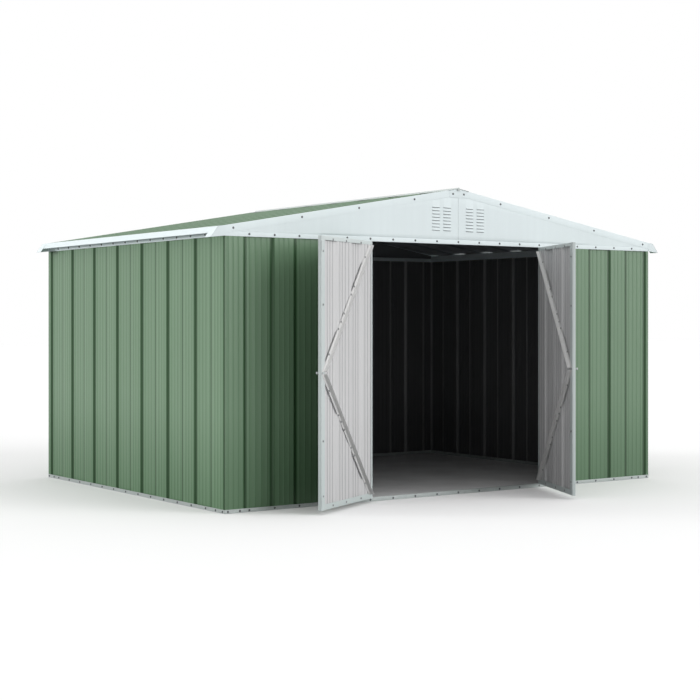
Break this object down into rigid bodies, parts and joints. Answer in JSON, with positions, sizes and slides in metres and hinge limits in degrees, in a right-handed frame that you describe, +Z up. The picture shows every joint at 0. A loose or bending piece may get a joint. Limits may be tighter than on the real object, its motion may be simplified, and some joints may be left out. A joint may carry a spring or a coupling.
{
  "type": "metal storage shed",
  "caption": "Sheet-steel garden shed with ribbed walls, a low gable roof with louvred vents and hinged double doors standing open.",
  "frame": {"origin": "on the ground, under the middle of the doorway, on the centre line of the front base rail", "axes": "+X to the right along the front wall, +Y from the doorway into the shed, +Z up"},
  "size_m": [4.0876, 3.5247, 2.208],
  "materials": {
    "wall_sheet": "satin green enamel outside, dark back coat inside",
    "roof_sheet": "satin green enamel outside, dark back coat inside",
    "door_sheet": "satin green enamel outside, light grey back coat inside",
    "gable_sheet": "satin pale enamel",
    "pale_trim": "satin pale enamel",
    "door_frame": "satin pale enamel",
    "zinc_rail": "dull galvanised",
    "fittings": "zinc plated"
  },
  "bodies": {
    "shed": {"base_rail_front": "zinc_rail", "base_rail_back": "zinc_rail", "base_rail_left": "zinc_rail", "base_rail_right": "zinc_rail", "base_corner_brackets": "zinc_rail", "front_wall_left": "wall_sheet", "front_wall_right": "wall_sheet", "back_wall_left": "wall_sheet", "back_wall_right": "wall_sheet", "left_wall_front": "wall_sheet", "left_wall_back": "wall_sheet", "right_wall_front": "wall_sheet", "right_wall_back": "wall_sheet", "door_jamb_left": "pale_trim", "door_jamb_right": "pale_trim", "top_rail_front": "pale_trim", "top_rail_back": "pale_trim", "top_rail_left": "pale_trim", "top_rail_right": "pale_trim", "front_gable_left": "gable_sheet", "front_gable_right": "gable_sheet", "back_gable_left": "gable_sheet", "back_gable_right": "gable_sheet", "gable_ridge_plates": "pale_trim", "front_verge_trims": "pale_trim", "back_verge_trims": "pale_trim", "roof_left_front": "roof_sheet", "roof_left_back": "roof_sheet", "roof_right_front": "roof_sheet", "roof_right_back": "roof_sheet", "ridge_cap": "pale_trim", "eave_trim_left": "pale_trim", "eave_trim_right": "pale_trim", "eave_corner_caps": "pale_trim", "jamb_hinges": "fittings"},
    "left_door": {"left_door_sheet": "door_sheet", "left_door_stiles": "door_frame", "left_door_rails": "door_frame", "left_door_braces": "door_frame", "left_door_handle": "fittings", "left_door_hinges": "fittings"},
    "right_door": {"right_door_sheet": "door_sheet", "right_door_stiles": "door_frame", "right_door_rails": "door_frame", "right_door_braces": "door_frame", "right_door_handle": "fittings", "right_door_hinges": "fittings"}
  },
  "joints": [
    {"name": "left_door_hinge", "type": "hinge", "parent": "shed", "child": "left_door", "pos_m": [-0.792, -0.022, 0.915], "axis": [0, 0, 1], "range_deg": [-14.5, 150.5]},
    {"name": "right_door_hinge", "type": "hinge", "parent": "shed", "child": "right_door", "pos_m": [0.792, -0.022, 0.915], "axis": [0, 0, 1], "range_deg": [-65.5, 99.5]}
  ]
}
